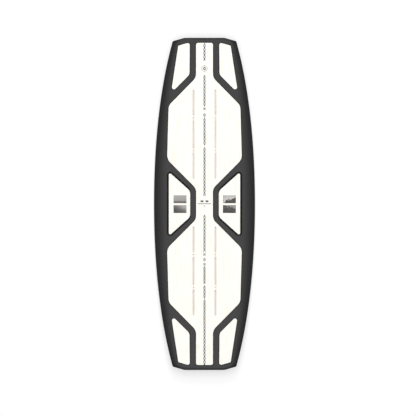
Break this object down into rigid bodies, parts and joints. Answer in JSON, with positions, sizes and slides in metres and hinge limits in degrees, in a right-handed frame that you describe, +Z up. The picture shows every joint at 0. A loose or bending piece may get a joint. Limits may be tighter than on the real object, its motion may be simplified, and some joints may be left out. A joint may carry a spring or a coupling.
{
  "type": "wakeboard",
  "caption": "Rockered wakeboard with a moulded dark deck frame over a pale top sheet, slotted binding tracks with sliding nuts, and fins under both ends.",
  "frame": {"origin": "centre of the board at the lowest line of its base", "axes": "+X across the board, +Y towards the tip, +Z up out of the deck"},
  "size_m": [0.4328, 1.42, 0.0776],
  "materials": {
    "base_sheet": "satin",
    "glass_laminate": "satin",
    "sidewall": "satin",
    "foam_core": "matte",
    "wood_stringer": "matte",
    "top_sheet": "satin",
    "frame_rubber": "matte",
    "track_plastic": "satin",
    "nut_metal": "satin",
    "fin_plastic": "satin",
    "screw_steel": "satin",
    "insert_brass": "satin"
  },
  "bodies": {
    "board": {"base_sheet": "base_sheet", "bottom_laminate": "glass_laminate", "sidewall_left": "sidewall", "sidewall_right": "sidewall", "sidewall_tip": "sidewall", "sidewall_tail": "sidewall", "core_left": "foam_core", "stringer_left": "wood_stringer", "core_centre": "foam_core", "stringer_right": "wood_stringer", "core_right": "foam_core", "top_laminate": "glass_laminate", "top_sheet": "top_sheet", "deck_frame": "frame_rubber", "track_tip_left": "track_plastic", "track_tip_right": "track_plastic", "track_tail_left": "track_plastic", "track_tail_right": "track_plastic", "fin_tip_left": "fin_plastic", "fin_screws_tip_left": "screw_steel", "fin_inserts_tip_left": "insert_brass", "fin_tip_right": "fin_plastic", "fin_screws_tip_right": "screw_steel", "fin_inserts_tip_right": "insert_brass", "fin_tail_left": "fin_plastic", "fin_screws_tail_left": "screw_steel", "fin_inserts_tail_left": "insert_brass", "fin_tail_right": "fin_plastic", "fin_screws_tail_right": "screw_steel", "fin_inserts_tail_right": "insert_brass"},
    "slider_tip_left_front": {"nut_tip_left_front": "nut_metal"},
    "slider_tip_left_rear": {"nut_tip_left_rear": "nut_metal"},
    "slider_tip_right_front": {"nut_tip_right_front": "nut_metal"},
    "slider_tip_right_rear": {"nut_tip_right_rear": "nut_metal"},
    "slider_tail_left_front": {"nut_tail_left_front": "nut_metal"},
    "slider_tail_left_rear": {"nut_tail_left_rear": "nut_metal"},
    "slider_tail_right_front": {"nut_tail_right_front": "nut_metal"},
    "slider_tail_right_rear": {"nut_tail_right_rear": "nut_metal"}
  },
  "joints": [
    {"name": "slider_tip_left_front_travel", "type": "hinge", "parent": "board", "child": "slider_tip_left_front", "pos_m": [0, 0, 4.99466], "axis": [1, 0, 0], "range_deg": [-0.67, 1.23]},
    {"name": "slider_tip_left_rear_travel", "type": "hinge", "parent": "board", "child": "slider_tip_left_rear", "pos_m": [0, 0, 4.99466], "axis": [1, 0, 0], "range_deg": [-1.22, 0.66]},
    {"name": "slider_tip_right_front_travel", "type": "hinge", "parent": "board", "child": "slider_tip_right_front", "pos_m": [0, 0, 4.99466], "axis": [1, 0, 0], "range_deg": [-0.67, 1.23]},
    {"name": "slider_tip_right_rear_travel", "type": "hinge", "parent": "board", "child": "slider_tip_right_rear", "pos_m": [0, 0, 4.99466], "axis": [1, 0, 0], "range_deg": [-1.22, 0.66]},
    {"name": "slider_tail_left_front_travel", "type": "hinge", "parent": "board", "child": "slider_tail_left_front", "pos_m": [0, 0, 4.99466], "axis": [1, 0, 0], "range_deg": [-0.66, 1.22]},
    {"name": "slider_tail_left_rear_travel", "type": "hinge", "parent": "board", "child": "slider_tail_left_rear", "pos_m": [0, 0, 4.99466], "axis": [1, 0, 0], "range_deg": [-1.23, 0.67]},
    {"name": "slider_tail_right_front_travel", "type": "hinge", "parent": "board", "child": "slider_tail_right_front", "pos_m": [0, 0, 4.99466], "axis": [1, 0, 0], "range_deg": [-0.66, 1.22]},
    {"name": "slider_tail_right_rear_travel", "type": "hinge", "parent": "board", "child": "slider_tail_right_rear", "pos_m": [0, 0, 4.99466], "axis": [1, 0, 0], "range_deg": [-1.23, 0.67]}
  ]
}
